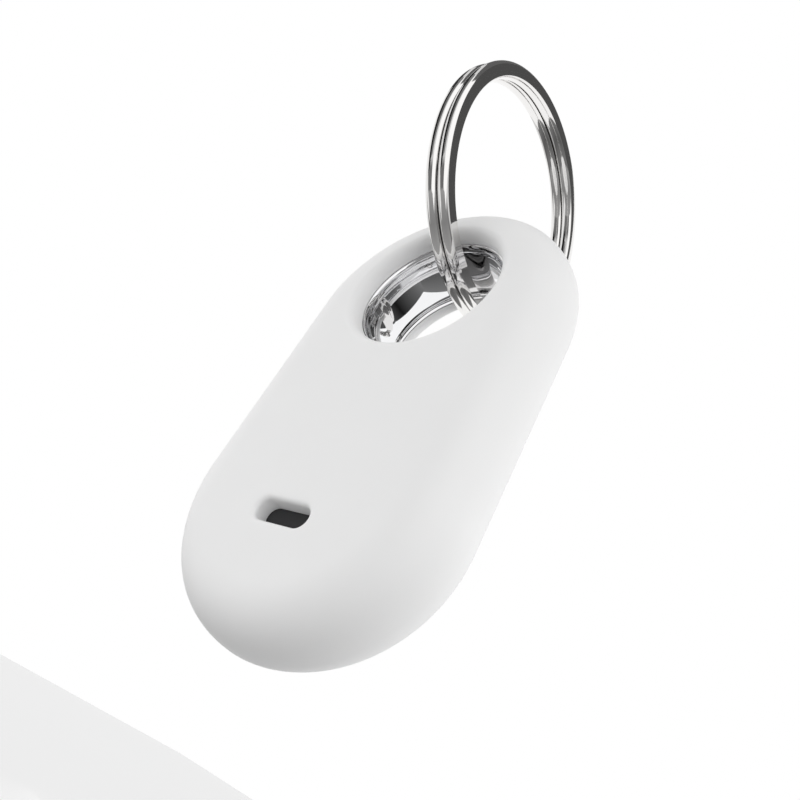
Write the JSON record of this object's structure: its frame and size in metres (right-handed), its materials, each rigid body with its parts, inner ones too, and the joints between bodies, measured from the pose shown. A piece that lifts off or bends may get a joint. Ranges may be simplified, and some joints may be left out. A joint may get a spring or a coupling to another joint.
{
  "type": "bluetooth tracker tag",
  "caption": "Pill-shaped wireless tracker tag in a soft silicone cover, with a chrome-lined round opening and a split key ring.",
  "frame": {"origin": "lowest point of the cover's tail, on the middle plane, under the key ring's centre", "axes": "+Z along the tag's long axis, from the tail towards the key ring; the front, with the sound slot, faces -Y; +X to the right of someone who faces the front"},
  "size_m": [0.0322, 0.0346, 0.0816],
  "materials": {
    "silicone": "matte",
    "shell": "fine texture",
    "liner": "polished",
    "seal": "matte",
    "holder": "matte",
    "board": "solder mask",
    "chip": "matte",
    "tin": "satin",
    "small_parts": "matte",
    "copper": "satin",
    "brass_plate": "satin",
    "ceramic": "satin",
    "mesh": "satin",
    "spring_steel": "satin",
    "cell_steel": "satin",
    "plunger": "satin",
    "button": "fine texture",
    "door": "fine texture",
    "door_seal": "matte",
    "ring_steel": "polished"
  },
  "bodies": {
    "tag": {"silicone_cover": "silicone", "front_shell": "shell", "rear_shell": "shell", "loop_liner": "liner", "shell_seal": "seal", "cell_holder": "holder", "main_board": "board", "radio_chip": "chip", "ranging_chip": "chip", "shield_can": "tin", "board_parts": "small_parts", "phone_tap_coil": "copper", "ranging_antenna": "copper", "radio_antenna": "copper", "piezo_plate": "brass_plate", "piezo_ceramic": "ceramic", "speaker_mesh": "mesh", "negative_contact": "spring_steel", "positive_contact": "spring_steel", "coin_cell_can": "cell_steel", "coin_cell_cap": "cell_steel", "coin_cell_seal": "seal", "switch_base": "chip", "switch_dome": "spring_steel"},
    "button": {"button_cap": "button"},
    "switch": {"switch_plunger": "plunger"},
    "door": {"battery_door": "door", "door_seal": "door_seal"},
    "ring": {"split_ring": "ring_steel"}
  },
  "joints": [
    {"name": "ring_swing", "type": "hinge", "parent": "tag", "child": "ring", "pos_m": [0, 0, 0.0574], "axis": [1, 0, 0], "range_deg": [-130, 130]},
    {"name": "button_press", "type": "slide", "parent": "tag", "child": "button", "axis": [0, 1, 0], "range_m": [0, 0.0002], "stiffness_N_per_m": 8000},
    {"name": "switch_press", "type": "slide", "parent": "tag", "child": "switch", "axis": [0, 1, 0], "range_m": [0, 0.0002]},
    {"name": "door_turn", "type": "hinge", "parent": "tag", "child": "door", "pos_m": [0, 0, 0.01606], "axis": [0, 1, 0], "range_deg": [0, 30]}
  ],
  "couplings": [
    {"joint": "switch_press", "follows": "button_press", "ratio": 1}
  ]
}
